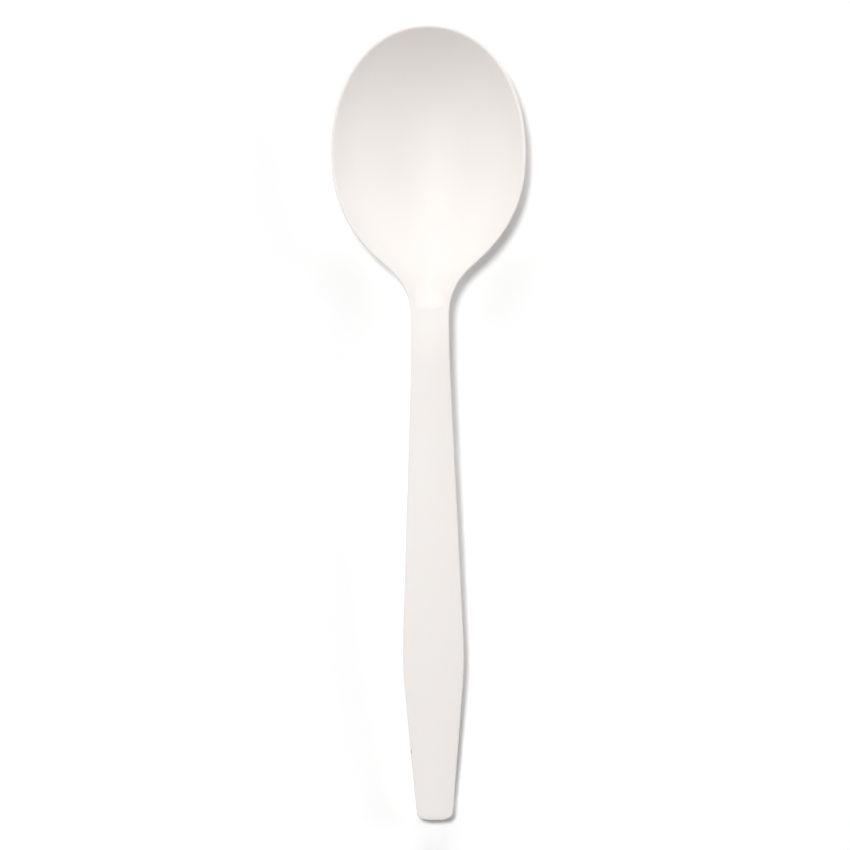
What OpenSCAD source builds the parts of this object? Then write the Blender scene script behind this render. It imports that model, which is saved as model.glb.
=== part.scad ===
// Disposable soup spoon: one thin moulding of white plastic, with no moving parts.
// Units are millimetres, and +Z is up. The spoon lies as it rests on a table, hollow side up, with the
// bowl's tip towards +Y and the handle's end towards -Y. The origin is on the table, below the middle
// of the length. Stations are measured from the bowl's tip along the spoon.
// The moulding is drawn as its three natural stretches, which meet face to face.

/* [Overall] */
// Length from the bowl's tip to the handle's end
spoon_length = 145; // [130:0.5:165]
// Thickness of the moulded wall
wall = 1.1; // [0.8:0.05:1.4]
// Rounding along the upper outside edge
edge_radius = 0.15; // [0.1:0.05:0.4]

/* [Bowl] */
// Length from the tip to the crease where the handle starts
bowl_length = 51.7; // [46:0.1:60]
// Largest width over the rim
bowl_width = 35.5; // [30:0.1:42]
// Depth of the hollow below the rim
bowl_depth = 7.5; // [5:0.1:10]
// Distance from the tip to the widest place
bowl_widest = 23.2; // [19:0.1:26]
// Distance from the tip to the deepest place
bowl_deepest = 24.6; // [21:0.1:27]
// Steepness of the hollow towards the tip, where 2 is a plain parabola
tip_steepness = 2.6; // [2:0.1:3]
// Width of the flat lip on the rim
rim_width = 0.55; // [0.5:0.05:1]
// Height of the rim's outside face
rim_height = 0.75; // [0.5:0.05:1]
// Squareness of the tip, where 2 is a plain ellipse
tip_power = 2.1; // [1.9:0.05:2.6]
// Height taken off the round underside to make its flat seat
seat_cut = 0.15; // [0.1:0.01:0.3]

/* [Neck] */
// Smallest width of the neck
neck_width = 6.88; // [5.5:0.02:9]
// Distance from the crease on to the narrowest place
neck_waist = 2.2; // [1.2:0.1:3.5]
// Distance from the crease on to the handle
neck_length = 10.3; // [8:0.1:14]
// Distance from the crease back to the shoulders, where the outline turns from convex to hollow
shoulder_reach = 7.8; // [7:0.1:10]
// Width over the shoulders
shoulder_width = 16; // [14:0.1:18]
// Angle of the outline to the spoon's length at the shoulders
shoulder_angle = 50; // [44:1:54]
// Flare of each side of the neck behind its waist
neck_flare = 0.5; // [0:0.1:2]
// Distance from the crease back to where the rim starts to rise
rise_reach = 13; // [10:0.5:18]
// Climb of the neck at the crease
neck_climb = 4; // [2:0.5:7]
// Rise of the neck from the crease to the handle
neck_rise = 0.2; // [0.1:0.05:0.4]

/* [Handle] */
// Width of the handle where its straight sides would meet, which the rounding there makes smaller
handle_width = 11.34; // [9:0.02:14]
// Distance from the handle's end back to its widest place
handle_widest = 28.8; // [24:0.2:36]
// Length over which the sides are rounded at the widest place
grip_rounding = 9; // [5:0.5:16]
// Width of the handle at its end, before the rounding
handle_end_width = 6.42; // [5.5:0.02:9]
// Length of the rounding at the handle's end
end_rounding = 1.8; // [1.4:0.1:3]
// Squareness of the handle's end, where 2 is a plain ellipse
end_power = 3; // [2.4:0.1:4]
// Fall of the handle's straight stretch
handle_fall = 2; // [1:0.25:3]
// Distance from the crease on to where the handle starts to bend down
bend_reach = 35.3; // [20:0.1:50]
// Fall of the handle at its end
end_fall = 5; // [3.5:0.1:8]
// Height of the crown across the handle's top
crown = 0.25; // [0.1:0.05:0.4]

/* [Side walls under the handle] */
// Depth of the side walls at the crease, from the top edge
neck_wall_depth = 2.2; // [1.8:0.1:3]
// Depth of the side walls at the handle's widest place
grip_wall_depth = 2.6; // [2:0.1:3.4]
// Height of the handle's top edge above the table at its end
end_wall_depth = 4.4; // [3.2:0.1:5.2]
// Height taken off the sloping end wall to make its flat seat
end_seat_cut = 0.35; // [0.2:0.01:0.5]
// Thickness of the side walls where they leave the top
side_wall_root = 1.1; // [0.9:0.05:1.4]
// Thickness of the side walls at their lower edge
side_wall_tip = 0.8; // [0.6:0.05:0.85]

/* [Hidden] */
plastic_colour = [0.96, 0.94, 0.92];

// Steps of the mesh: ribs round the tip, along the bowl, neck and handle, and round the handle's end
tip_steps = 15;
bowl_steps = 24;
neck_steps = 9;
handle_steps = 40;
end_steps = 8;
// Columns of the mesh on each side of the middle
columns = 10;

// Stations of the named places
shoulder_at = bowl_length - shoulder_reach;
waist_at = bowl_length + neck_waist;
neck_end_at = bowl_length + neck_length;
bend_at = bowl_length + bend_reach;
grip_at = spoon_length - handle_widest;
grip_from = grip_at - grip_rounding / 2;
grip_to = grip_at + grip_rounding / 2;
end_rounding_at = spoon_length - end_rounding;
rise_at = bowl_length - rise_reach;

// Heights above the table
rim_z = bowl_depth + wall;
crease_z = rim_z + rise_reach * tan(neck_climb) / 2;
neck_end_z = crease_z + neck_rise;
bend_z = neck_end_z - tan(handle_fall) * (bend_at - neck_end_at);

// Half-widths and slopes of the handle's straight sides in front of and behind its widest place
neck_end_half = neck_width / 2 + tan(neck_flare) * (neck_end_at - waist_at);
front_slope = (handle_width / 2 - neck_end_half) / (grip_at - neck_end_at);
back_slope = (handle_end_width - handle_width) / 2 / handle_widest;
front_half = handle_width / 2 - front_slope * grip_rounding / 2;
back_half = handle_width / 2 + back_slope * grip_rounding / 2;

// Cubic curve from (x0, y0) to (x1, y1) with the slopes m0 and m1 at its ends
function curve(x, x0, x1, y0, y1, m0, m1) =
    let (
        run = x1 - x0,
        t = (x - x0) / run,
        line = y0 + (y1 - y0) * t * t * (3 - 2 * t)
    )
    line + run * t * (1 - t) * (m0 * (1 - t) - m1 * t);

// Slope of that curve
function curve_slope(x, x0, x1, y0, y1, m0, m1) =
    let (
        run = x1 - x0,
        t = (x - x0) / run
    )
    6 * t * (1 - t) * (y1 - y0) / run + m0 * (1 - t) * (1 - 3 * t) + m1 * t * (3 * t - 2);

// Smooth step from 0 at x0 to 1 at x1
function ramp(x, x0, x1) =
    let (t = min(1, max(0, (x - x0) / (x1 - x0))))
    t * t * (3 - 2 * t);

// Ends of the outline's stretches behind the bowl's widest place
function outline_stretch(s) =
    s < shoulder_at
        ? [bowl_widest, shoulder_at, bowl_width / 2, shoulder_width / 2, 0, -tan(shoulder_angle)]
    : s < waist_at
        ? [shoulder_at, waist_at, shoulder_width / 2, neck_width / 2, -tan(shoulder_angle), tan(neck_flare)]
    : s < neck_end_at
        ? [waist_at, neck_end_at, neck_width / 2, neck_end_half, tan(neck_flare), tan(neck_flare)]
    : s < grip_from
        ? [neck_end_at, grip_from, neck_end_half, front_half, front_slope, front_slope]
    : s < grip_to
        ? [grip_from, grip_to, front_half, back_half, front_slope, back_slope]
        : [grip_to, spoon_length, back_half, handle_end_width / 2, back_slope, back_slope];

// Half the outline's width at a station, and how fast it changes
function half_width(s) =
    let (k = outline_stretch(s))
    s < bowl_widest
        ? bowl_width / 2 * pow(1 - pow(1 - s / bowl_widest, tip_power), 1 / tip_power)
        : curve(s, k[0], k[1], k[2], k[3], k[4], k[5]);
function half_width_slope(s) =
    let (k = outline_stretch(s))
    curve_slope(s, k[0], k[1], k[2], k[3], k[4], k[5]);

// Height of the top edge along the spoon: level rim, rising neck, straight handle that bends down to its end
function edge_z(s) =
    s < rise_at ? rim_z
    : s < bowl_length ? rim_z + tan(neck_climb) * pow(s - rise_at, 2) / (2 * rise_reach)
    : s < neck_end_at ? curve(s, bowl_length, neck_end_at, crease_z, neck_end_z, tan(neck_climb), -tan(handle_fall))
    : s < bend_at ? neck_end_z - tan(handle_fall) * (s - neck_end_at)
    : curve(s, bend_at, spoon_length, bend_z, end_wall_depth, -tan(handle_fall), -tan(end_fall));

// Depth of the outside face below the top edge: the rim's, growing into the side walls
function side_depth(s) =
    s < bowl_length ? rim_height + (neck_wall_depth - rim_height) * ramp(s, shoulder_at, bowl_length)
    : s < grip_at ? neck_wall_depth + (grip_wall_depth - neck_wall_depth) * ramp(s, bowl_length, grip_at)
    : grip_wall_depth + (end_wall_depth + end_seat_cut - grip_wall_depth) * ramp(s, grip_at, spoon_length);

// Height of the top surface, at the share t of the way from the middle to the rim's inner edge
function top_z(s, t) =
    let (
        front = pow(max(0, bowl_deepest - s) / (bowl_deepest - rim_width), tip_steepness),
        back = pow((s - bowl_deepest) / (bowl_length - bowl_deepest), 2),
        middle = s < bowl_deepest ? wall + bowl_depth * front : wall + (crease_z - wall) * back
    )
    s < bowl_length
        ? middle + (edge_z(s) - middle) * t * t
        : edge_z(s) + crown * ramp(s, bowl_length, neck_end_at) * (1 - t * t);

// Height of the under surface at a distance x from the middle, cut flat at the table
function under_z(s, x) =
    let (
        t = x / half_width(s),
        edge = edge_z(s) - rim_height - (wall - rim_height) * ramp(s, shoulder_at, bowl_length),
        front = pow(max(0, bowl_deepest - s) / bowl_deepest, tip_steepness),
        back = pow((s - bowl_deepest) / (bowl_length - bowl_deepest), 2),
        middle = s < bowl_deepest
            ? (rim_z - rim_height + seat_cut) * front - seat_cut
            : (crease_z - wall + seat_cut) * back - seat_cut
    )
    s < bowl_length
        ? max(0, middle + (edge - middle) * t * t)
        : edge_z(s) - wall + crown * ramp(s, bowl_length, neck_end_at) * (1 - t * t);

// A rib is [place, value]: an angle round the tip or the handle's end, or a station between them.
// ring() gives the half-width and the station of a rib's point at an inset from the outline.
function ring(rib, inset) =
    rib[0] == "tip" ?
        let (
            along = pow(cos(rib[1]), 2 / tip_power),
            across = pow(sin(rib[1]), 2 / tip_power)
        )
        [(bowl_width / 2 - inset) * across, bowl_widest - (bowl_widest - inset) * along]
    : rib[0] == "end" ?
        let (
            along = pow(sin(rib[1]), 2 / end_power),
            across = pow(cos(rib[1]), 2 / end_power),
            s = end_rounding_at + (end_rounding - inset) * along
        )
        [(half_width(s) - inset) * across, s]
    : [half_width(rib[1]) - inset * norm([1, half_width_slope(rib[1])]), rib[1]];

function place(x, s, z) = [x, spoon_length / 2 - s, z];

// One side's points of a rib, from the rim's rounding down and round to the side wall's inner foot
function side_points(rib, side) =
    let (
        round_x = edge_radius * (1 - cos(45)),
        round_z = edge_radius * (1 - sin(45)),
        a = ring(rib, edge_radius),
        b = ring(rib, round_x),
        c = ring(rib, 0),
        foot = ring(rib, side_wall_tip),
        foot_z = min(edge_z(foot[1]) - side_depth(foot[1]), under_z(foot[1], foot[0]))
    )
    [
        place(side * a[0], a[1], edge_z(a[1])),
        place(side * b[0], b[1], edge_z(b[1]) - round_z),
        place(side * c[0], c[1], edge_z(c[1]) - edge_radius),
        place(side * c[0], c[1], max(0, edge_z(c[1]) - side_depth(c[1]))),
        place(side * foot[0], foot[1], max(0, foot_z))
    ];

// The closed loop of a rib: top from left to right, right side down, under from right to left, left side up
function rib_loop(rib) =
    let (
        top = ring(rib, rim_width),
        under = ring(rib, side_wall_root),
        left = side_points(rib, -1)
    )
    concat(
        [for (j = [-columns:columns]) place(top[0] * j / columns, top[1], top_z(top[1], j / columns))],
        side_points(rib, 1),
        [for (j = [columns:-1:-columns])
            place(under[0] * j / columns, under[1], under_z(under[1], under[0] * j / columns))],
        [for (j = [4:-1:0]) left[j]]
    );

// Count of points in a side, across a surface, and round a whole loop
side_count = 5;
across_count = 2 * columns + 1;
loop_count = 2 * (across_count + side_count);

// At a pole a loop closes to seven points: top, five of the side, under
pole_count = side_count + 2;
function pole_index(j) =
    j < across_count ? 0
    : j < across_count + side_count ? j - across_count + 1
    : j < 2 * across_count + side_count ? side_count + 1
    : loop_count - j;
function pole_points(loop) =
    concat([for (j = [0:side_count]) loop[across_count - 1 + j]], [loop[across_count + side_count]]);

// Triangles of a flat end: a band between the top and under surfaces, and a fan in each side wall
function end_face() =
    let (
        under_left = 2 * across_count + side_count - 1,
        right_wall = [for (j = [across_count - 1:across_count + side_count]) j],
        left_wall = [for (j = [under_left:loop_count]) j % loop_count]
    )
    concat(
        [for (j = [0:across_count - 2]) each [
            [j, j + 1, under_left - j],
            [j + 1, under_left - j - 1, under_left - j]
        ]],
        [for (j = [0:side_count - 1]) [right_wall[side_count + 1], right_wall[j], right_wall[j + 1]]],
        [for (j = [1:side_count]) [left_wall[0], left_wall[j], left_wall[j + 1]]]
    );

// A stretch of the moulding through its ribs, closed by flat ends or by the poles at tip and end
module stretch(ribs, pole_first = false, pole_last = false) {
    loops = [for (rib = ribs) rib_loop(rib)];
    last = len(ribs) - 1;
    first_count = pole_first ? pole_count : loop_count;
    first_points = pole_first ? pole_points(loops[0]) : loops[0];
    last_points = pole_last ? pole_points(loops[last]) : loops[last];
    inner_points = [for (i = [1:last - 1]) each loops[i]];
    function point_index(i, j) =
        i == 0 ? (pole_first ? pole_index(j) : j)
        : first_count + (i - 1) * loop_count + (i == last && pole_last ? pole_index(j) : j);
    skin = [
        for (i = [0:last - 1], j = [0:loop_count - 1])
            let (
                k = (j + 1) % loop_count,
                a = point_index(i, j),
                b = point_index(i, k),
                c = point_index(i + 1, k),
                d = point_index(i + 1, j)
            )
            each [[a, b, d], [b, c, d]]
    ];
    // Triangles that have closed to a line at a pole are left out
    whole = [for (f = skin) if (f[0] != f[1] && f[1] != f[2] && f[2] != f[0]) f];
    first_end = pole_first ? [] : [for (f = end_face()) [for (k = [2:-1:0]) point_index(0, f[k])]];
    last_end = pole_last ? [] : [for (f = end_face()) [for (j = f) point_index(last, j)]];
    polyhedron(
        points = concat(first_points, inner_points, last_points),
        faces = concat(whole, first_end, last_end),
        convexity = 6
    );
}

// Stations from one place to another in even steps
function side_ribs(from, to, steps) = [for (i = [0:steps]) ["side", from + (to - from) * i / steps]];

// The hollow bowl with its lip, from the tip to the crease
module bowl() {
    tip_ribs = [for (i = [0:tip_steps - 1]) ["tip", 90 * i / tip_steps]];
    color(plastic_colour)
        stretch(concat(tip_ribs, side_ribs(bowl_widest, bowl_length, bowl_steps)), pole_first = true);
}

// The narrow neck, which carries the side walls into the handle
module neck() {
    color(plastic_colour)
        stretch(side_ribs(bowl_length, neck_end_at, neck_steps));
}

// The gently bent handle, open below between its side walls and closed by the end wall
module handle() {
    end_ribs = [for (i = [1:end_steps]) ["end", 90 * i / end_steps]];
    color(plastic_colour)
        stretch(concat(side_ribs(neck_end_at, end_rounding_at, handle_steps), end_ribs), pole_last = true);
}

bowl();
neck();
handle();
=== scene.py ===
"""A disposable soup spoon: one smooth moulding of white plastic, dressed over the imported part."""

import logging
import math
from collections.abc import Callable
from dataclasses import dataclass, field
from enum import Enum

import bmesh
import bpy
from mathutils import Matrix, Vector


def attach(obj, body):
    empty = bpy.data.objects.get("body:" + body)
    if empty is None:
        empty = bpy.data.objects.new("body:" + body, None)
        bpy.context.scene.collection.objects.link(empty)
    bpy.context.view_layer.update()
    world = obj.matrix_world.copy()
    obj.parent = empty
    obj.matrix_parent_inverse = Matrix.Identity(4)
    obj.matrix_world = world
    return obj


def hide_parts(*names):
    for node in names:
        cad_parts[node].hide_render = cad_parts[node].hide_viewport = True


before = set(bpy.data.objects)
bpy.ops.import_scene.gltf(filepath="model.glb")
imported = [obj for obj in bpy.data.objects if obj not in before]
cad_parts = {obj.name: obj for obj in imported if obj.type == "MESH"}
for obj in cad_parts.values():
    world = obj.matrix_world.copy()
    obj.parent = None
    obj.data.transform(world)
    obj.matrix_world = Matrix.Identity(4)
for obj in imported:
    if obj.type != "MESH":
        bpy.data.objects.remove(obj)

log = logging.getLogger("soup_spoon")
MM = 0.001
WELD = 0.002 * MM
TINY = 0.001 * MM
NOTHING = 1e-9
LOOP_STEP = 1000
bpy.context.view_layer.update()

# A height, in metres, by station and distance from the middle
Height = Callable[[float, float], float]


class Place(Enum):
    """Where a rib crosses the outline: round the tip, along a side, or round the handle's end."""

    TIP = "tip"
    SIDE = "side"
    END = "end"


class Loop(Enum):
    """The loops that run round the outline. A point's label is its rib's number plus its loop's value."""

    RIM = 0
    FOOT_OUTSIDE = LOOP_STEP
    FOOT_INSIDE = 2 * LOOP_STEP
    ROOT = 3 * LOOP_STEP
    LIP = 4 * LOOP_STEP
    NONE = -1


@dataclass(frozen=True)
class Rib:
    """One rib of the moulding: an angle round the tip or the end, or a station along a side."""

    place: Place
    value: float


def hermite(
    x: float, ends: tuple[float, float], values: tuple[float, float], slopes: tuple[float, float]
) -> float:
    """Cubic curve between two stations.

    Args:
        x: the station.
        ends: the stations at the curve's ends.
        values: the values at the ends.
        slopes: the slopes at the ends.

    Returns:
        The curve's value at x.
    """
    run = ends[1] - ends[0]
    t = (x - ends[0]) / run
    line = values[0] + (values[1] - values[0]) * t * t * (3 - 2 * t)
    return line + run * t * (1 - t) * (slopes[0] * (1 - t) - slopes[1] * t)


def ramp(x: float, start: float, end: float) -> float:
    """Smooth step from 0 at start to 1 at end."""
    t = min(1.0, max(0.0, (x - start) / (end - start)))
    return t * t * (3 - 2 * t)


@dataclass(frozen=True)
class SpoonPlan:
    """Outline and heights of the spoon, in metres. Stations are measured from the bowl's tip."""

    length: float = 145 * MM
    wall: float = 1.1 * MM
    bowl_length: float = 51.7 * MM
    bowl_width: float = 35.5 * MM
    bowl_depth: float = 7.5 * MM
    widest: float = 23.2 * MM
    deepest: float = 24.6 * MM
    tip_steepness: float = 2.6
    lip: float = 0.55 * MM
    rim_height: float = 0.75 * MM
    tip_power: float = 2.1
    seat_cut: float = 0.15 * MM
    neck_width: float = 6.88 * MM
    waist: float = 53.9 * MM
    neck_end: float = 62 * MM
    shoulder: float = 43.9 * MM
    shoulder_width: float = 16 * MM
    shoulder_angle: float = 50
    neck_flare: float = 0.5
    rise: float = 38.7 * MM
    neck_climb: float = 4
    neck_rise: float = 0.2 * MM
    grip: float = 116.2 * MM
    grip_width: float = 11.34 * MM
    grip_rounding: float = 9 * MM
    end_width: float = 6.42 * MM
    end_rounding: float = 1.8 * MM
    end_power: float = 3
    bend: float = 87 * MM
    handle_fall: float = 2
    end_fall: float = 5
    crown: float = 0.249 * MM
    neck_wall: float = 2.2 * MM
    grip_wall: float = 2.6 * MM
    end_height: float = 4.4 * MM
    end_seat_cut: float = 0.35 * MM
    wall_root: float = 1.1 * MM
    wall_foot: float = 0.8 * MM

    @property
    def rim_z(self) -> float:
        """Height of the bowl's level rim."""
        return self.bowl_depth + self.wall

    @property
    def crease_z(self) -> float:
        """Height of the crease between the bowl and the neck."""
        return self.rim_z + (self.bowl_length - self.rise) * math.tan(math.radians(self.neck_climb)) / 2

    @property
    def end_start(self) -> float:
        """Station where the handle's rounded end begins."""
        return self.length - self.end_rounding

    def outline_knots(self) -> list[tuple[float, float, float, float]]:
        """Stations, half-widths and slopes on both sides of the knots of the outline's sides."""
        fall = -math.tan(math.radians(self.shoulder_angle))
        flare = math.tan(math.radians(self.neck_flare))
        neck_half = self.neck_width / 2
        neck_end_half = neck_half + flare * (self.neck_end - self.waist)
        grip_half, reach = self.grip_width / 2, self.grip_rounding / 2
        front = (grip_half - neck_end_half) / (self.grip - self.neck_end)
        back = (self.end_width / 2 - grip_half) / (self.length - self.grip)
        return [
            (self.widest, self.bowl_width / 2, 0, 0),
            (self.shoulder, self.shoulder_width / 2, fall, fall),
            (self.waist, neck_half, flare, flare),
            (self.neck_end, neck_end_half, flare, front),
            (self.grip - reach, grip_half - front * reach, front, front),
            (self.grip + reach, grip_half + back * reach, back, back),
            (self.length, self.end_width / 2, back, back),
        ]

    def half_width(self, s: float) -> float:
        """Half the outline's width at a station."""
        if s < self.widest:
            return self.bowl_width / 2 * (1 - (1 - s / self.widest) ** self.tip_power) ** (1 / self.tip_power)
        knots = self.outline_knots()
        for here, there in zip(knots, knots[1:]):
            if s < there[0]:
                break
        return hermite(s, (here[0], there[0]), (here[1], there[1]), (here[3], there[2]))

    def side_slope(self, s: float) -> float:
        """Slope of the outline's side at a station behind the widest place."""
        step = 0.01 * MM
        return (self.half_width(s + step) - self.half_width(s - step)) / (2 * step)

    def edge_z(self, s: float) -> float:
        """Height of the top edge at a station."""
        climb, slope, end_slope = (
            math.tan(math.radians(a)) for a in (self.neck_climb, -self.handle_fall, -self.end_fall)
        )
        start_z = self.crease_z + self.neck_rise
        bend_z = start_z + slope * (self.bend - self.neck_end)
        if s < self.rise:
            return self.rim_z
        if s < self.bowl_length:
            return self.rim_z + climb * (s - self.rise) ** 2 / (2 * (self.bowl_length - self.rise))
        if s < self.neck_end:
            return hermite(s, (self.bowl_length, self.neck_end), (self.crease_z, start_z), (climb, slope))
        if s < self.bend:
            return start_z + slope * (s - self.neck_end)
        return hermite(s, (self.bend, self.length), (bend_z, self.end_height), (slope, end_slope))

    def side_depth(self, s: float) -> float:
        """Depth of the outside face below the top edge."""
        if s < self.bowl_length:
            grown = ramp(s, self.shoulder, self.bowl_length)
            return self.rim_height + (self.neck_wall - self.rim_height) * grown
        if s < self.grip:
            return self.neck_wall + (self.grip_wall - self.neck_wall) * ramp(s, self.bowl_length, self.grip)
        end = self.end_height + self.end_seat_cut
        return self.grip_wall + (end - self.grip_wall) * ramp(s, self.grip, self.length)

    def crown_at(self, s: float) -> float:
        """Height of the crown across the handle's top at a station."""
        return self.crown * ramp(s, self.bowl_length, self.neck_end)

    def dish_z(self, s: float, x: float) -> float:
        """Height of the hollow's surface at a station and a distance from the middle."""
        if s < self.deepest:
            share = (self.deepest - s) / (self.deepest - self.lip)
            middle = self.wall + self.bowl_depth * share ** self.tip_steepness
        else:
            share = (s - self.deepest) / (self.bowl_length - self.deepest)
            middle = self.wall + (self.crease_z - self.wall) * share * share
        t = min(1.0, x / self.lip_half(s)) if x > 0 else 0.0
        return middle + (self.edge_z(s) - middle) * t * t

    def lip_half(self, s: float) -> float:
        """Half the width between the lip's inner edges at a station of the bowl."""
        if s < self.widest:
            share = 1 - (s - self.lip) / (self.widest - self.lip)
            return (self.bowl_width / 2 - self.lip) * (1 - share ** self.tip_power) ** (1 / self.tip_power)
        return self.half_width(s) - self.lip * math.hypot(1, self.side_slope(s))

    def under_z(self, s: float, x: float) -> float:
        """Height of the under surface at a station and a distance from the middle."""
        t = x / max(self.half_width(s), NOTHING)
        if s >= self.bowl_length:
            return self.edge_z(s) - self.wall + self.crown_at(s) * (1 - t * t)
        grown = ramp(s, self.shoulder, self.bowl_length)
        edge = self.edge_z(s) - self.rim_height - (self.wall - self.rim_height) * grown
        if s < self.deepest:
            share = (self.deepest - s) / self.deepest
            rise = (self.rim_z - self.rim_height + self.seat_cut) * share ** self.tip_steepness
        else:
            share = (s - self.deepest) / (self.bowl_length - self.deepest)
            rise = (self.crease_z - self.wall + self.seat_cut) * share * share
        middle = rise - self.seat_cut
        return middle + (edge - middle) * t * t

    def ring(self, rib: Rib, inset: float) -> tuple[float, float]:
        """Half-width and station of a rib's point at an inset from the outline.

        Args:
            rib: the rib.
            inset: the distance inwards from the outline.

        Returns:
            The distance from the middle and the station.
        """
        if rib.place is Place.SIDE:
            slope = self.side_slope(rib.value)
            return self.half_width(rib.value) - inset * math.hypot(1, slope), rib.value
        angle = math.radians(rib.value)
        cosine, sine = max(0.0, math.cos(angle)), max(0.0, math.sin(angle))
        if rib.place is Place.TIP:
            power = 2 / self.tip_power
            half = (self.bowl_width / 2 - inset) * sine ** power
            return half, self.widest - (self.widest - inset) * cosine ** power
        power = 2 / self.end_power
        s = self.end_start + (self.end_rounding - inset) * sine ** power
        return (self.half_width(s) - inset) * cosine ** power, s

    def point(self, x: float, s: float, z: float) -> Vector:
        """A point of the frame from a distance, a station and a height."""
        return Vector((x, self.length / 2 - s, z))


class Workpiece:
    """A mesh object that is shaped in edit mode by operators, as by hand."""

    LABEL = "rib"

    def __init__(self, obj: bpy.types.Object) -> None:
        """Takes over an object and opens it in edit mode."""
        self.obj = obj
        bpy.context.view_layer.objects.active = obj
        bpy.ops.object.mode_set(mode="EDIT")
        bpy.ops.mesh.select_mode(type="VERT")

    def mesh(self) -> tuple[bmesh.types.BMesh, bmesh.types.BMLayerItem]:
        """The edit mesh and the layer in which each point remembers its rib."""
        bm = bmesh.from_edit_mesh(self.obj.data)
        layer = bm.verts.layers.int.get(self.LABEL) or bm.verts.layers.int.new(self.LABEL)
        bm.verts.ensure_lookup_table()
        return bm, layer

    def update(self, bm: bmesh.types.BMesh) -> None:
        """Flushes a changed selection to edges and faces."""
        bm.select_flush_mode()
        bmesh.update_edit_mesh(self.obj.data, loop_triangles=False, destructive=False)

    def pick(self, rule: Callable[[Vector, int], bool]) -> None:
        """Selects the points that a rule accepts by their place and rib label."""
        bpy.ops.mesh.select_mode(type="VERT")
        bpy.ops.mesh.select_all(action="DESELECT")
        bm, layer = self.mesh()
        for v in bm.verts:
            if rule(v.co, v[layer]):
                v.select = True
        self.update(bm)

    def pick_edges(self, rule: Callable[[bmesh.types.BMEdge, int, int], bool]) -> None:
        """Selects the edges that a rule accepts, given the labels of both ends."""
        bpy.ops.mesh.select_mode(type="EDGE")
        bpy.ops.mesh.select_all(action="DESELECT")
        bm, layer = self.mesh()
        for e in bm.edges:
            if rule(e, e.verts[0][layer], e.verts[1][layer]):
                e.select = True
        self.update(bm)

    def relabel(self, rule: Callable[[Vector, int], int]) -> None:
        """Gives the selected points new labels."""
        bm, layer = self.mesh()
        for v in bm.verts:
            if v.select:
                v[layer] = rule(v.co, v[layer])
        bmesh.update_edit_mesh(self.obj.data, loop_triangles=False, destructive=False)

    def extrude(self, step: Vector | None = None) -> None:
        """Extrudes the selected chain of edges by a step."""
        value = tuple(step) if step else (0.0, 0.0, 0.0)
        bpy.ops.mesh.extrude_region_move(TRANSFORM_OT_translate={"value": value})

    def resize(self, shares: tuple[float, float, float], centre: Vector) -> None:
        """Resizes the selected points about a centre."""
        bpy.ops.transform.resize(value=shares, center_override=tuple(centre))

    def settle(self, target: Callable[[Vector, int], Vector]) -> None:
        """Slides each selected point to the target of its place and label."""
        bm, layer = self.mesh()
        wanted = [(v.index, target(v.co, v[layer])) for v in bm.verts if v.select]
        for index, _ in wanted:
            bm.verts[index].select = False
        self.update(bm)
        last = None
        for index, goal in wanted:
            bm, layer = self.mesh()
            if last is not None:
                bm.verts[last].select = False
            bm.verts[index].select = True
            self.update(bm)
            bpy.ops.transform.translate(value=tuple(goal - bm.verts[index].co))
            last = index
        bm, layer = self.mesh()
        for index, _ in wanted:
            bm.verts[index].select = True
        self.update(bm)

    def close(self) -> bpy.types.Object:
        """Leaves edit mode."""
        bpy.ops.object.mode_set(mode="OBJECT")
        return self.obj


def deselect_all() -> None:
    """Deselects every object."""
    bpy.ops.object.select_all(action="DESELECT")


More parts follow.
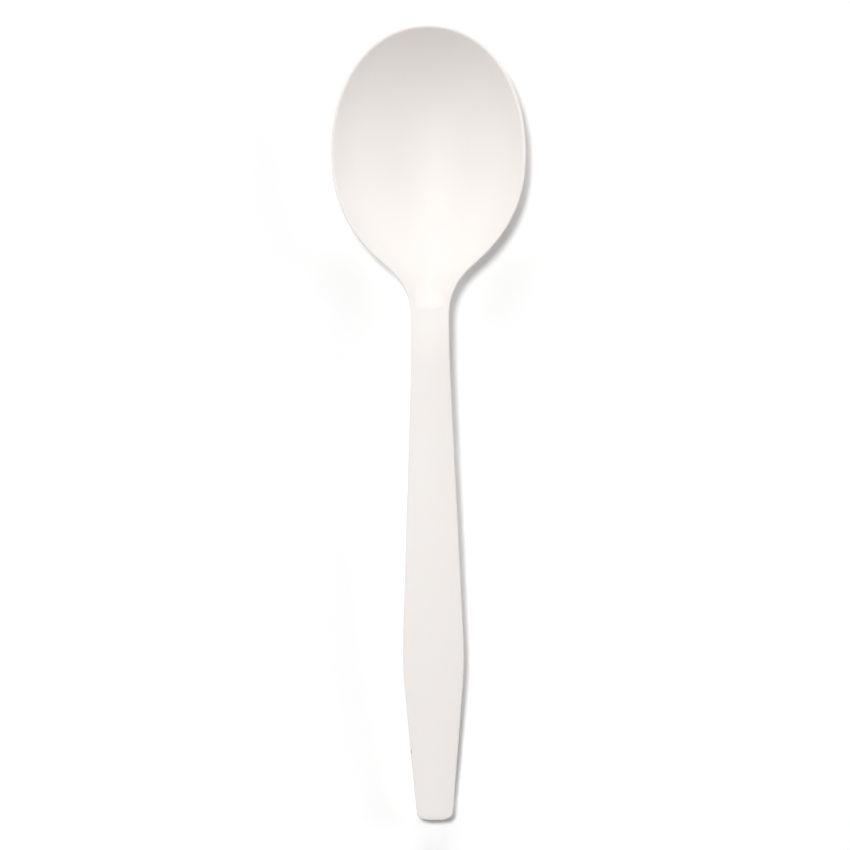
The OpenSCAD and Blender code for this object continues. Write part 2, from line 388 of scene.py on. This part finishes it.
@dataclass
class Moulding:
    """The spoon's one moulding, modelled as its right half and mirrored."""

    plan: SpoonPlan = field(default_factory=SpoonPlan)
    tip_ribs: int = 28
    side_ribs: int = 28
    columns: int = 8
    dish_rings: int = 24
    handle_rows: int = 80
    end_turns: tuple[float, ...] = (8, 22)
    end_corner: float = 42
    crease_bow: float = 0.9 * MM
    crease_half: float = 0.2 * MM
    edge_round: float = 0.15 * MM
    foot_round: float = 0.12 * MM
    fillet: float = 0.1 * MM
    round_segments: int = 3
    wall_lead: int = 4

    def __post_init__(self) -> None:
        """Lays out the ribs along the outline's right half."""
        plan = self.plan
        self.mouth = plan.bowl_length + plan.lip
        self.corner = self.tip_ribs + self.side_ribs
        corner_at = self.mouth - self.crease_bow
        ribs = [Rib(Place.TIP, 90 * i / self.tip_ribs) for i in range(self.tip_ribs)]
        run = corner_at - plan.widest
        ribs += [Rib(Place.SIDE, plan.widest + run * i / self.side_ribs) for i in range(self.side_ribs + 1)]
        run = plan.end_start - self.mouth
        self.rows = [self.mouth + run * i / self.handle_rows for i in range(1, self.handle_rows + 1)]
        ribs += [Rib(Place.SIDE, s - self.bow(s)) for s in self.rows]
        ribs += [Rib(Place.END, turn) for turn in self.end_turns]
        turn = (90 - self.end_corner) / self.columns
        ribs += [Rib(Place.END, self.end_corner + turn * i) for i in range(self.columns + 1)]
        self.ribs = ribs

    def bow(self, s: float) -> float:
        """How far a row's ends lie towards the tip: the crease's bow, fading along the neck."""
        return self.crease_bow * (1 - ramp(s, self.mouth, self.plan.neck_end))

    def outline_chain(self, name: str) -> Workpiece:
        """Half a circle of points, one for each rib of the bowl and each column of the mouth.

        Args:
            name: the object's name.

        Returns:
            The workpiece with its points labelled in order from the tip.
        """
        plan = self.plan
        steps = self.corner + self.columns
        centre = plan.point(0, plan.deepest, plan.rim_z)
        deselect_all()
        bpy.ops.mesh.primitive_circle_add(
            vertices=2 * steps, radius=plan.bowl_width / 2, fill_type="NOTHING", location=centre
        )
        obj = bpy.context.active_object
        obj.name = obj.data.name = name
        bpy.ops.object.transform_apply(location=True, rotation=True, scale=True)
        piece = Workpiece(obj)
        piece.pick(lambda co, _: co.x < -TINY)
        bpy.ops.mesh.delete(type="VERT")
        bpy.ops.mesh.select_all(action="SELECT")
        turn = math.pi / steps
        piece.relabel(lambda co, _: round(math.atan2(co.x, co.y - centre.y) / turn))
        return piece

    def mouth_share(self, label: int) -> float:
        """Share of the half-width at which a column of the mouth lies."""
        return 1 - (label - self.corner) / self.columns

    def bowl_point(self, label: int, inset: float, mouth: float, height: Height) -> Vector:
        """Place of a point of a chain round the bowl.

        Args:
            label: the point's order from the tip.
            inset: the chain's distance inside the outline.
            mouth: the station of the chain's middle at the mouth.
            height: the height by station and distance from the middle.

        Returns:
            The point.
        """
        plan = self.plan
        drift = self.mouth - mouth
        if label < self.corner:
            rib = self.ribs[label]
            if rib.place is Place.SIDE:
                shift = drift * ramp(rib.value, plan.shoulder, self.mouth - self.crease_bow)
                rib = Rib(Place.SIDE, rib.value - shift)
            x, s = plan.ring(rib, inset)
        else:
            corner_at = mouth - self.crease_bow
            half, _ = plan.ring(Rib(Place.SIDE, corner_at), inset)
            share = self.mouth_share(label)
            x, s = half * share, mouth - self.crease_bow * share * share
        return plan.point(x if label else 0.0, s, height(s, x))

    def lay_strip(self, piece: Workpiece, inset: float, height: Height) -> None:
        """Extrudes the neck and the handle from the mouth, row by row.

        Args:
            piece: the workpiece.
            inset: the strip's distance inside the outline.
            height: the height by station and distance from the middle.
        """
        plan = self.plan
        half = plan.ring(self.ribs[self.corner], inset)[0]
        s, edge = self.mouth, height(self.ribs[self.corner].value, half)
        bow, crown = self.crease_bow, height(s, 0) - edge
        stops = [(row, self.bow(row), self.ribs[self.corner + 1 + i]) for i, row in enumerate(self.rows)]
        first_end = self.corner + 1 + self.handle_rows
        stops += [(None, 0.0, rib) for rib in self.ribs[first_end:first_end + len(self.end_turns)]]
        for k, (row, new_bow, rib) in enumerate(stops):
            new_half, new_s = plan.ring(rib, inset)
            new_s = new_s if row is None else row
            edge_s = new_s - new_bow
            new_edge = height(edge_s, new_half)
            new_crown = height(new_s, 0) - new_edge
            piece.extrude(Vector((0, s - new_s, new_edge - edge)))
            label = self.corner + 1 + k
            outer = half - TINY
            piece.relabel(lambda co, _: label if co.x > outer else Loop.NONE.value)
            centre = plan.point(0, new_s, new_edge)
            share = new_bow / bow if bow > NOTHING else 1.0
            piece.resize((new_half / half, share, new_crown / crown), centre)
            half, s, edge, bow, crown = new_half, new_s, new_edge, new_bow, new_crown
        piece.extrude()
        start = first_end + len(self.end_turns)
        piece.relabel(lambda co, _: start + round((1 - co.x / half) * self.columns))
        piece.settle(lambda _, n: self.outline_point(n, inset, height))

    def outline_point(self, label: int, inset: float, height: Height) -> Vector:
        """Place of a rib's point at an inset from the outline."""
        x, s = self.plan.ring(self.ribs[label], inset)
        x = 0.0 if label in (0, len(self.ribs) - 1) else x
        return self.plan.point(x, s, height(s, x))

    def lay_bowl(self, piece: Workpiece, height: Height) -> None:
        """Draws the selected chain in to the deepest place, ring by ring, and settles each ring on the dish.

        Args:
            piece: the workpiece.
            height: the dish's height by station and distance from the middle.
        """
        plan = self.plan
        centre = plan.point(0, plan.deepest, height(plan.deepest, 0))
        shares = [1 - i / self.dish_rings for i in range(self.dish_rings)]
        for now, then in zip(shares, shares[1:]):
            share = then / now
            piece.extrude()
            piece.relabel(lambda _, __: Loop.NONE.value)
            piece.resize((share, share, share * share), centre)
            piece.settle(lambda co, _: Vector((co.x, co.y, height(plan.length / 2 - co.y, co.x))))
        piece.extrude()
        piece.resize((0, 0, 0), centre)
        bpy.ops.mesh.remove_doubles(threshold=TINY)

    def top_height(self, s: float, x: float) -> float:
        """Height of the lip and of the handle's top."""
        half = self.plan.half_width(s)
        share = min(1.0, x / half) if half > TINY else 1.0
        return self.plan.edge_z(s) + self.plan.crown_at(s) * (1 - share * share)

    def top_skin(self) -> bpy.types.Object:
        """The surface seen from above: lip, hollow of the bowl, neck and handle."""
        piece = self.outline_chain("top_skin")
        piece.settle(lambda _, n: self.bowl_point(n, 0, self.mouth, self.top_height))
        piece.extrude()
        piece.settle(lambda _, n: self.bowl_point(n, self.plan.lip, self.plan.bowl_length, self.top_height))
        piece.relabel(lambda _, n: Loop.LIP.value + n)
        self.lay_bowl(piece, self.plan.dish_z)
        piece.pick(lambda _, n: self.corner <= n <= self.corner + self.columns)
        self.lay_strip(piece, 0, self.top_height)
        self.name_outline(piece, Loop.RIM)
        return piece.close()

    def under_skin(self) -> bpy.types.Object:
        """The surface seen from below, between the side walls and under the bowl."""
        plan = self.plan
        piece = self.outline_chain("under_skin")
        piece.settle(lambda _, n: self.bowl_point(n, plan.wall_root, self.mouth, plan.under_z))
        self.lay_bowl(piece, plan.under_z)
        piece.pick(lambda _, n: self.corner <= n <= self.corner + self.columns)
        self.lay_strip(piece, plan.wall_root, plan.under_z)
        piece.pick(lambda co, _: co.z < 0)
        piece.resize((1, 1, 0), Vector((0, 0, 0)))
        self.name_outline(piece, Loop.ROOT)
        return piece.close()

    def pick_outline(self, piece: Workpiece, labels: tuple[int, int]) -> None:
        """Selects the open edges of a skin whose labels are in a range, but not those on the middle line."""
        low, high = labels
        piece.pick_edges(
            lambda e, a, b: e.is_boundary and low <= min(a, b) and max(a, b) < high
            and e.verts[0].co.x + e.verts[1].co.x > TINY
        )

    def name_outline(self, piece: Workpiece, loop: Loop) -> None:
        """Labels a skin's outline as one of the loops, and clears the labels of the columns inside it."""
        self.pick_outline(piece, (0, len(self.ribs)))
        outline = {tuple(v.co) for v in piece.mesh()[0].verts if v.select}
        bpy.ops.mesh.select_all(action="SELECT")
        piece.relabel(
            lambda co, n: loop.value + n if tuple(co) in outline
            else n if n >= Loop.LIP.value else Loop.NONE.value
        )

    def foot_height(self, s: float, x: float) -> float:
        """Height of the side walls' lower edge, which the round underside of the bowl swallows."""
        plan = self.plan
        outside = plan.edge_z(s) - plan.side_depth(s)
        inside = x < plan.half_width(s) - plan.wall_foot / 2
        return max(0.0, min(outside, plan.under_z(s, x)) if inside else outside)

    def close_sides(self, top: bpy.types.Object, under: bpy.types.Object) -> Workpiece:
        """Joins the two skins by the outside face, the lower edge and the inside of the side walls.

        Args:
            top: the top skin.
            under: the under skin.

        Returns:
            The right half of the moulding.
        """
        plan = self.plan
        deselect_all()
        under.select_set(True)
        top.select_set(True)
        bpy.context.view_layer.objects.active = top
        bpy.ops.object.join()
        piece = Workpiece(top)
        self.pick_outline(piece, (0, len(self.ribs)))
        walls = [
            (Loop.FOOT_OUTSIDE, 0.0, self.foot_height),
            (Loop.FOOT_INSIDE, plan.wall_foot, self.foot_height),
            (Loop.ROOT, plan.wall_root, plan.under_z),
        ]
        for loop, inset, height in walls:
            piece.extrude()
            piece.relabel(lambda _, n: loop.value + n % LOOP_STEP)
            piece.settle(lambda _, n: self.outline_point(n % LOOP_STEP, inset, height))
        bpy.ops.mesh.select_all(action="SELECT")
        bpy.ops.mesh.remove_doubles(threshold=WELD)
        return piece

    def mirror(self, piece: Workpiece) -> Workpiece:
        """Mirrors the right half over the middle line and turns all faces outwards."""
        obj = piece.close()
        modifier = obj.modifiers.new("mirror", "MIRROR")
        modifier.merge_threshold = WELD
        bpy.ops.object.modifier_apply(modifier=modifier.name)
        piece = Workpiece(obj)
        bpy.ops.mesh.select_all(action="SELECT")
        bpy.ops.mesh.normals_make_consistent(inside=False)
        return piece

    def round_edges(self, piece: Workpiece) -> bpy.types.Object:
        """Rounds the lip and crease, the upper edge, the side walls' lower edges and their roots.

        Args:
            piece: the closed moulding with sharp edges.

        Returns:
            The moulding with rounded edges.
        """
        walls_start = self.corner - self.wall_lead
        rounds = [
            (Loop.LIP, 0, self.crease_half),
            (Loop.RIM, 0, self.edge_round),
            (Loop.FOOT_OUTSIDE, 0, self.foot_round),
            (Loop.FOOT_INSIDE, walls_start, self.foot_round),
            (Loop.ROOT, walls_start, self.fillet),
        ]
        widest = max(width for _, _, width in rounds)
        for loop, first, width in rounds:
            low, high = loop.value + first, loop.value + LOOP_STEP
            piece.pick_edges(lambda _, a, b: low <= min(a, b) and max(a, b) < high)
            bpy.ops.transform.edge_bevelweight(value=width / widest)
        obj = piece.close()
        modifier = obj.modifiers.new("rounding", "BEVEL")
        modifier.limit_method = "WEIGHT"
        modifier.offset_type = "OFFSET"
        modifier.width = widest
        modifier.segments = self.round_segments
        modifier.use_clamp_overlap = False
        bpy.ops.object.modifier_apply(modifier=modifier.name)
        return obj

    def build(self) -> bpy.types.Object:
        """Models the whole moulding.

        Returns:
            The finished piece.
        """
        obj = self.round_edges(self.mirror(self.close_sides(self.top_skin(), self.under_skin())))
        obj.name = obj.data.name = "spoon_moulding"
        deselect_all()
        obj.select_set(True)
        bpy.ops.object.shade_smooth()
        return obj


@dataclass(frozen=True)
class MouldedPlastic:
    """Warm white polypropylene with a soft gloss, faint cloudiness and the fine skin of a polished mould."""

    name: str = "white_plastic"
    colour: tuple[float, float, float] = (0.905, 0.864, 0.836)
    cloud_colour: tuple[float, float, float] = (0.893, 0.849, 0.819)
    cloud_scale: float = 55
    cloud_detail: float = 2
    sheen_scale: float = 320
    sheen_detail: float = 2
    roughness: tuple[float, float] = (0.48, 0.56)
    skin_scale: float = 1500
    skin_detail: float = 3
    skin_height: float = 0.004 * MM
    ior: float = 1.49
    glow: float = 0.1
    glow_depth: float = 1.2 * MM
    glow_colour: tuple[float, float, float] = (1.0, 0.85, 0.75)
    # The nick on the handle's left edge is not modelled in the mesh: its shade is painted into the base
    # colour as a grey patch.
    nick_at: tuple[float, float, float] = (-4.2 * MM, -59.9 * MM, 5.4 * MM)
    nick_half: tuple[float, float, float] = (0.12 * MM, 0.5 * MM, 0.35 * MM)
    nick_fade: tuple[float, float] = (0.6, 1.2)
    nick_shade_colour: tuple[float, float, float] = (0.55, 0.55, 0.56)

    def noise(self, tree: bpy.types.NodeTree, scale: float, detail: float) -> bpy.types.NodeSocket:
        """A noise pattern on the object's own coordinates.

        Args:
            tree: the material's nodes.
            scale: the pattern's scale, per metre.
            detail: the pattern's detail.

        Returns:
            The noise's factor.
        """
        place = tree.nodes.new("ShaderNodeTexCoord")
        noise = tree.nodes.new("ShaderNodeTexNoise")
        noise.inputs["Scale"].default_value = scale
        noise.inputs["Detail"].default_value = detail
        tree.links.new(place.outputs["Object"], noise.inputs["Vector"])
        return noise.outputs["Fac"]

    def nick(self, tree: bpy.types.NodeTree) -> bpy.types.NodeSocket:
        """A mask, 1 where the nick's shade is painted on the handle's left edge and 0 elsewhere."""
        place = tree.nodes.new("ShaderNodeTexCoord")
        away = tree.nodes.new("ShaderNodeVectorMath")
        away.operation = "SUBTRACT"
        away.inputs[1].default_value = self.nick_at
        scaled = tree.nodes.new("ShaderNodeVectorMath")
        scaled.operation = "MULTIPLY"
        scaled.inputs[1].default_value = [1 / half for half in self.nick_half]
        length = tree.nodes.new("ShaderNodeVectorMath")
        length.operation = "LENGTH"
        mask = tree.nodes.new("ShaderNodeMapRange")
        mask.inputs["From Min"].default_value, mask.inputs["From Max"].default_value = self.nick_fade
        mask.inputs["To Min"].default_value, mask.inputs["To Max"].default_value = 1, 0
        tree.links.new(place.outputs["Object"], away.inputs[0])
        tree.links.new(away.outputs["Vector"], scaled.inputs[0])
        tree.links.new(scaled.outputs["Vector"], length.inputs[0])
        tree.links.new(length.outputs["Value"], mask.inputs["Value"])
        return mask.outputs["Result"]

    def build(self) -> bpy.types.Material:
        """Makes the material."""
        material = bpy.data.materials.new(self.name)
        material.use_nodes = True
        tree = material.node_tree
        shader = tree.nodes["Principled BSDF"]
        shader.inputs["IOR"].default_value = self.ior
        shader.inputs["Subsurface Weight"].default_value = self.glow
        shader.inputs["Subsurface Radius"].default_value = self.glow_colour
        shader.inputs["Subsurface Scale"].default_value = self.glow_depth
        clouds = tree.nodes.new("ShaderNodeMix")
        clouds.data_type = "RGBA"
        clouds.inputs["A"].default_value = (*self.colour, 1)
        clouds.inputs["B"].default_value = (*self.cloud_colour, 1)
        tree.links.new(self.noise(tree, self.cloud_scale, self.cloud_detail), clouds.inputs["Factor"])
        # Painted shade: the unmodelled nick is darkened to grey in the base colour.
        surface = tree.nodes.new("ShaderNodeMix")
        surface.data_type = "RGBA"
        surface.inputs["B"].default_value = (*self.nick_shade_colour, 1)
        tree.links.new(self.nick(tree), surface.inputs["Factor"])
        tree.links.new(clouds.outputs["Result"], surface.inputs["A"])
        tree.links.new(surface.outputs["Result"], shader.inputs["Base Color"])
        sheen = tree.nodes.new("ShaderNodeMapRange")
        sheen.inputs["To Min"].default_value, sheen.inputs["To Max"].default_value = self.roughness
        tree.links.new(self.noise(tree, self.sheen_scale, self.sheen_detail), sheen.inputs["Value"])
        tree.links.new(sheen.outputs["Result"], shader.inputs["Roughness"])
        skin = tree.nodes.new("ShaderNodeBump")
        skin.inputs["Distance"].default_value = self.skin_height
        tree.links.new(self.noise(tree, self.skin_scale, self.skin_detail), skin.inputs["Height"])
        tree.links.new(skin.outputs["Normal"], shader.inputs["Normal"])
        return material


@dataclass(frozen=True)
class Lamp:
    """A square soft lamp that looks at the spoon, with the way to it from the spoon."""

    name: str
    way: tuple[float, float, float]
    size: float
    power: float
    distance: float = 5

    def hang(self) -> None:
        """Hangs the lamp in the scene."""
        light = bpy.data.lights.new(self.name, "AREA")
        light.size = self.size
        light.energy = self.power
        lamp = bpy.data.objects.new(self.name, light)
        way = Vector(self.way).normalized()
        lamp.location = way * self.distance
        lamp.rotation_euler = way.to_track_quat("Z", "Y").to_euler()
        bpy.context.scene.collection.objects.link(lamp)


@dataclass(frozen=True)
class Studio:
    """The pale table, the soft light and the camera straight above."""

    table_size: float = 4
    table_colour: float = 1.0
    table_glow: float = 0.09
    sky: float = 0.07
    lamps: tuple[Lamp, ...] = (
        Lamp("key", (-0.13, 0.16, 1), 0.8, 151),
        Lamp("front_fill", (-0.9, 0.9, 1), 2.4, 8),
        Lamp("left_fill", (-2.5, 0.5, 1), 2.4, 43),
        Lamp("right_fill", (2.5, 0.5, 1), 2.4, 66),
        Lamp("far_light", (0, 2.5, 1), 2.4, 77),
    )
    camera_height: float = 3
    focus: float = 7 * MM
    pixel: float = 0.18216 * MM
    frame_pixels: int = 850
    spoon_middle: tuple[float, float] = (431, 422.5)
    lean: float = 0.56

    def table(self) -> None:
        """The table top, which keeps the spoon's shadow and otherwise shows white to the camera."""
        deselect_all()
        bpy.ops.mesh.primitive_plane_add(size=self.table_size)
        table = bpy.context.active_object
        table.name = "table"
        material = bpy.data.materials.new("pale_table")
        material.use_nodes = True
        tree = material.node_tree
        tree.nodes.remove(tree.nodes["Principled BSDF"])
        diffuse = tree.nodes.new("ShaderNodeBsdfDiffuse")
        diffuse.inputs["Color"].default_value = (self.table_colour,) * 3 + (1,)
        glow = tree.nodes.new("ShaderNodeEmission")
        seen = tree.nodes.new("ShaderNodeLightPath")
        level = tree.nodes.new("ShaderNodeMath")
        level.operation = "MULTIPLY"
        level.inputs[1].default_value = self.table_glow
        both = tree.nodes.new("ShaderNodeAddShader")
        tree.links.new(seen.outputs["Is Camera Ray"], level.inputs[0])
        tree.links.new(level.outputs["Value"], glow.inputs["Strength"])
        tree.links.new(diffuse.outputs["BSDF"], both.inputs[0])
        tree.links.new(glow.outputs["Emission"], both.inputs[1])
        tree.links.new(both.outputs["Shader"], tree.nodes["Material Output"].inputs["Surface"])
        table.data.materials.append(material)

    def surroundings(self) -> None:
        """A dim even sky for the light, white where the camera or a reflection sees it."""
        world = bpy.data.worlds.new("studio")
        bpy.context.scene.world = world
        world.use_nodes = True
        tree = world.node_tree
        ground = tree.nodes["Background"]
        ground.inputs["Color"].default_value = (1, 1, 1, 1)
        rays = tree.nodes.new("ShaderNodeLightPath")
        seen = tree.nodes.new("ShaderNodeMath")
        seen.operation = "MAXIMUM"
        through = tree.nodes.new("ShaderNodeMath")
        through.operation = "MAXIMUM"
        level = tree.nodes.new("ShaderNodeMapRange")
        level.inputs["To Min"].default_value = self.sky
        level.inputs["To Max"].default_value = 1
        tree.links.new(rays.outputs["Is Camera Ray"], seen.inputs[0])
        tree.links.new(rays.outputs["Is Glossy Ray"], seen.inputs[1])
        tree.links.new(seen.outputs["Value"], through.inputs[0])
        tree.links.new(rays.outputs["Is Transmission Ray"], through.inputs[1])
        tree.links.new(through.outputs["Value"], level.inputs["Value"])
        tree.links.new(level.outputs["Result"], ground.inputs["Strength"])

    def camera(self) -> None:
        """A long lens straight above, turned and placed so that the spoon lies as in the picture."""
        lens = bpy.data.cameras.new("camera")
        camera = bpy.data.objects.new("camera", lens)
        width = self.frame_pixels * self.pixel
        lens.lens = lens.sensor_width * self.camera_height / width
        across = (self.spoon_middle[0] - self.frame_pixels / 2) * self.pixel
        along = (self.spoon_middle[1] - self.frame_pixels / 2) * self.pixel
        camera.location = (-across, along, self.camera_height + self.focus)
        camera.rotation_euler = (0, 0, -math.radians(self.lean))
        bpy.context.scene.collection.objects.link(camera)
        bpy.context.scene.camera = camera


def main() -> None:
    """Builds the spoon and its studio."""
    logging.basicConfig(level=logging.INFO, format="%(message)s")
    spoon = Moulding().build()
    spoon.data.materials.clear()
    spoon.data.materials.append(MouldedPlastic().build())
    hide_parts("bowl", "neck", "handle")
    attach(spoon, "root")
    log.info("%s: %d faces", spoon.name, len(spoon.data.polygons))
    studio = Studio()
    studio.table()
    studio.surroundings()
    for lamp in studio.lamps:
        lamp.hang()
    studio.camera()
    bpy.context.scene.view_settings.view_transform = "Standard"


if __name__ == "__main__":
    main()
